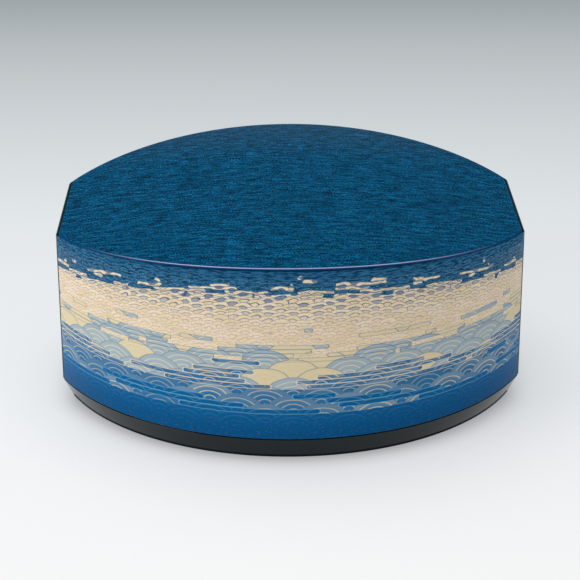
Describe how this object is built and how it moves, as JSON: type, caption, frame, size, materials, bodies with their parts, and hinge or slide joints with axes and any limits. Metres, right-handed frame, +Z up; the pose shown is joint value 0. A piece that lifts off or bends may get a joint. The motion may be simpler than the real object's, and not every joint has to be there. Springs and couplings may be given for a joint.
{
  "type": "japanese suzuri ink box",
  "caption": "Lift-off-lid writing box with straight ends, long curved sides and an arched top, with a tray for inkstone, dropper, brushes, knife and ink stick over a paper compartment.",
  "frame": {"origin": "under the middle of the plinth, at the height of the surface that it stands on", "axes": "+X to the right along the longer plan axis, +Y to the rear curved side, +Z up"},
  "size_m": [0.26, 0.244, 0.1125],
  "materials": {
    "decorated_lacquer": "polished lacquer over coloured layers",
    "blue_engraved_lacquer": "polished lacquer with fine engraved ripples",
    "black_lacquer": "gloss lacquer",
    "slate": "honed slate",
    "oxidised_silver": "satin, lightly oxidised",
    "pine_soot_ink": "dry, slightly satin",
    "bamboo": "satin",
    "hair": "soft bristle",
    "horn": "polished horn",
    "brass": "polished",
    "steel": "ground blade"
  },
  "bodies": {
    "box_body": {"plinth_front": "black_lacquer", "plinth_rear": "black_lacquer", "plinth_left": "black_lacquer", "plinth_right": "black_lacquer", "body_wall_front": "black_lacquer", "body_wall_rear": "black_lacquer", "body_wall_left": "black_lacquer", "body_wall_right": "black_lacquer", "bottom_board": "black_lacquer", "tray_strip_left": "black_lacquer", "tray_strip_right": "black_lacquer"},
    "lid": {"lid_top_board": "blue_engraved_lacquer", "lid_wall_front": "decorated_lacquer", "lid_wall_rear": "decorated_lacquer", "lid_wall_left": "black_lacquer", "lid_wall_right": "black_lacquer"},
    "tray": {"tray_floor": "black_lacquer", "tray_rim_front": "black_lacquer", "tray_rim_rear": "black_lacquer", "tray_rim_left": "black_lacquer", "tray_rim_right": "black_lacquer", "tray_divider_left": "black_lacquer", "tray_divider_right": "black_lacquer", "inkstone_bed": "black_lacquer", "brush_rest_front": "black_lacquer", "brush_rest_rear": "black_lacquer", "knife_rest_front": "black_lacquer", "knife_rest_rear": "black_lacquer"},
    "inkstone_block": {"inkstone": "slate"},
    "water_dropper": {"dropper_shell": "oxidised_silver", "dropper_base": "oxidised_silver"},
    "ink_stick_bar": {"ink_stick": "pine_soot_ink"},
    "brush_large": {"brush_large_handle": "bamboo", "brush_large_ferrule": "horn", "brush_large_tuft": "hair"},
    "brush_small": {"brush_small_handle": "bamboo", "brush_small_ferrule": "horn", "brush_small_tuft": "hair"},
    "cap_large": {"brush_large_cap": "bamboo"},
    "cap_small": {"brush_small_cap": "bamboo"},
    "paper_knife": {"knife_handle": "black_lacquer", "knife_ferrule": "brass", "knife_blade": "steel"}
  },
  "joints": [
    {"name": "lid_lift", "type": "slide", "parent": "box_body", "child": "lid", "axis": [0, 0, 1], "range_m": [0, 0.26]},
    {"name": "tray_lift", "type": "slide", "parent": "box_body", "child": "tray", "axis": [0, 0, 1], "range_m": [0, 0.1]},
    {"name": "inkstone_lift", "type": "slide", "parent": "tray", "child": "inkstone_block", "axis": [0, 0, 1], "range_m": [0, 0.06]},
    {"name": "dropper_lift", "type": "slide", "parent": "tray", "child": "water_dropper", "axis": [0, 0, 1], "range_m": [0, 0.06]},
    {"name": "ink_stick_lift", "type": "slide", "parent": "tray", "child": "ink_stick_bar", "axis": [0, 0, 1], "range_m": [0, 0.06]},
    {"name": "brush_large_lift", "type": "slide", "parent": "tray", "child": "brush_large", "axis": [0, 0, 1], "range_m": [0, 0.07]},
    {"name": "brush_small_lift", "type": "slide", "parent": "tray", "child": "brush_small", "axis": [0, 0, 1], "range_m": [0, 0.07]},
    {"name": "knife_lift", "type": "slide", "parent": "tray", "child": "paper_knife", "axis": [0, 0, 1], "range_m": [0, 0.07]},
    {"name": "cap_large_pull", "type": "slide", "parent": "brush_large", "child": "cap_large", "axis": [0, -1, 0], "range_m": [0, 0.046]},
    {"name": "cap_small_pull", "type": "slide", "parent": "brush_small", "child": "cap_small", "axis": [0, -1, 0], "range_m": [0, 0.037]}
  ],
  "couplings": [
    {"joint": "tray_lift", "follows": "lid_lift", "ratio": 0.35},
    {"joint": "inkstone_lift", "follows": "lid_lift", "ratio": 0.2},
    {"joint": "dropper_lift", "follows": "lid_lift", "ratio": 0.2},
    {"joint": "ink_stick_lift", "follows": "lid_lift", "ratio": 0.2},
    {"joint": "brush_large_lift", "follows": "lid_lift", "ratio": 0.25},
    {"joint": "brush_small_lift", "follows": "lid_lift", "ratio": 0.25},
    {"joint": "knife_lift", "follows": "lid_lift", "ratio": 0.25},
    {"joint": "cap_large_pull", "follows": "lid_lift", "ratio": 0.17},
    {"joint": "cap_small_pull", "follows": "lid_lift", "ratio": 0.135}
  ]
}
